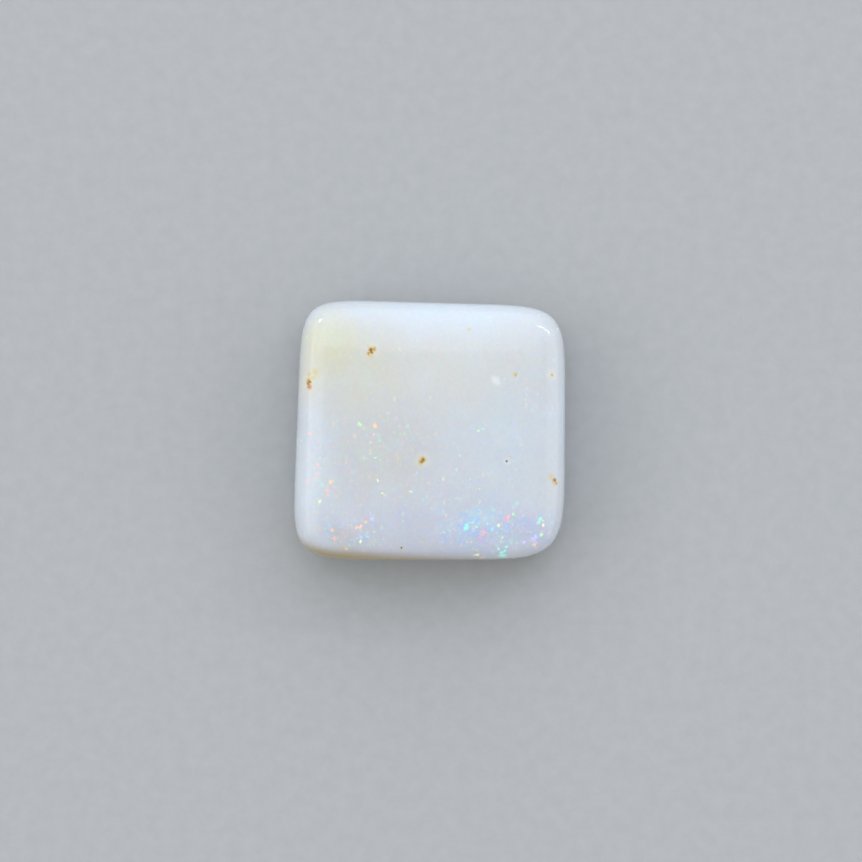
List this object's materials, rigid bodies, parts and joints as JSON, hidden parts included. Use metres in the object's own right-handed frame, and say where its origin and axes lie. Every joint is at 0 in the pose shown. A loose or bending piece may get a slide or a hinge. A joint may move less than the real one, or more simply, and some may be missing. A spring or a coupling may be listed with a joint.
{
  "type": "polished white opal cabochon",
  "caption": "Cushion-shaped white opal cabochon with a low domed, polished face, rounded shoulders and a flat ground back",
  "frame": {"origin": "on the flat back, under the middle of the stone's box", "axes": "+Z out of the domed face; +Y towards the edge that was uppermost in the picture, +X towards its right side"},
  "size_m": [0.014, 0.0134, 0.0046],
  "materials": {
    "opal": "polished"
  },
  "bodies": {
    "root": {"opal": "opal"}
  },
  "joints": []
}
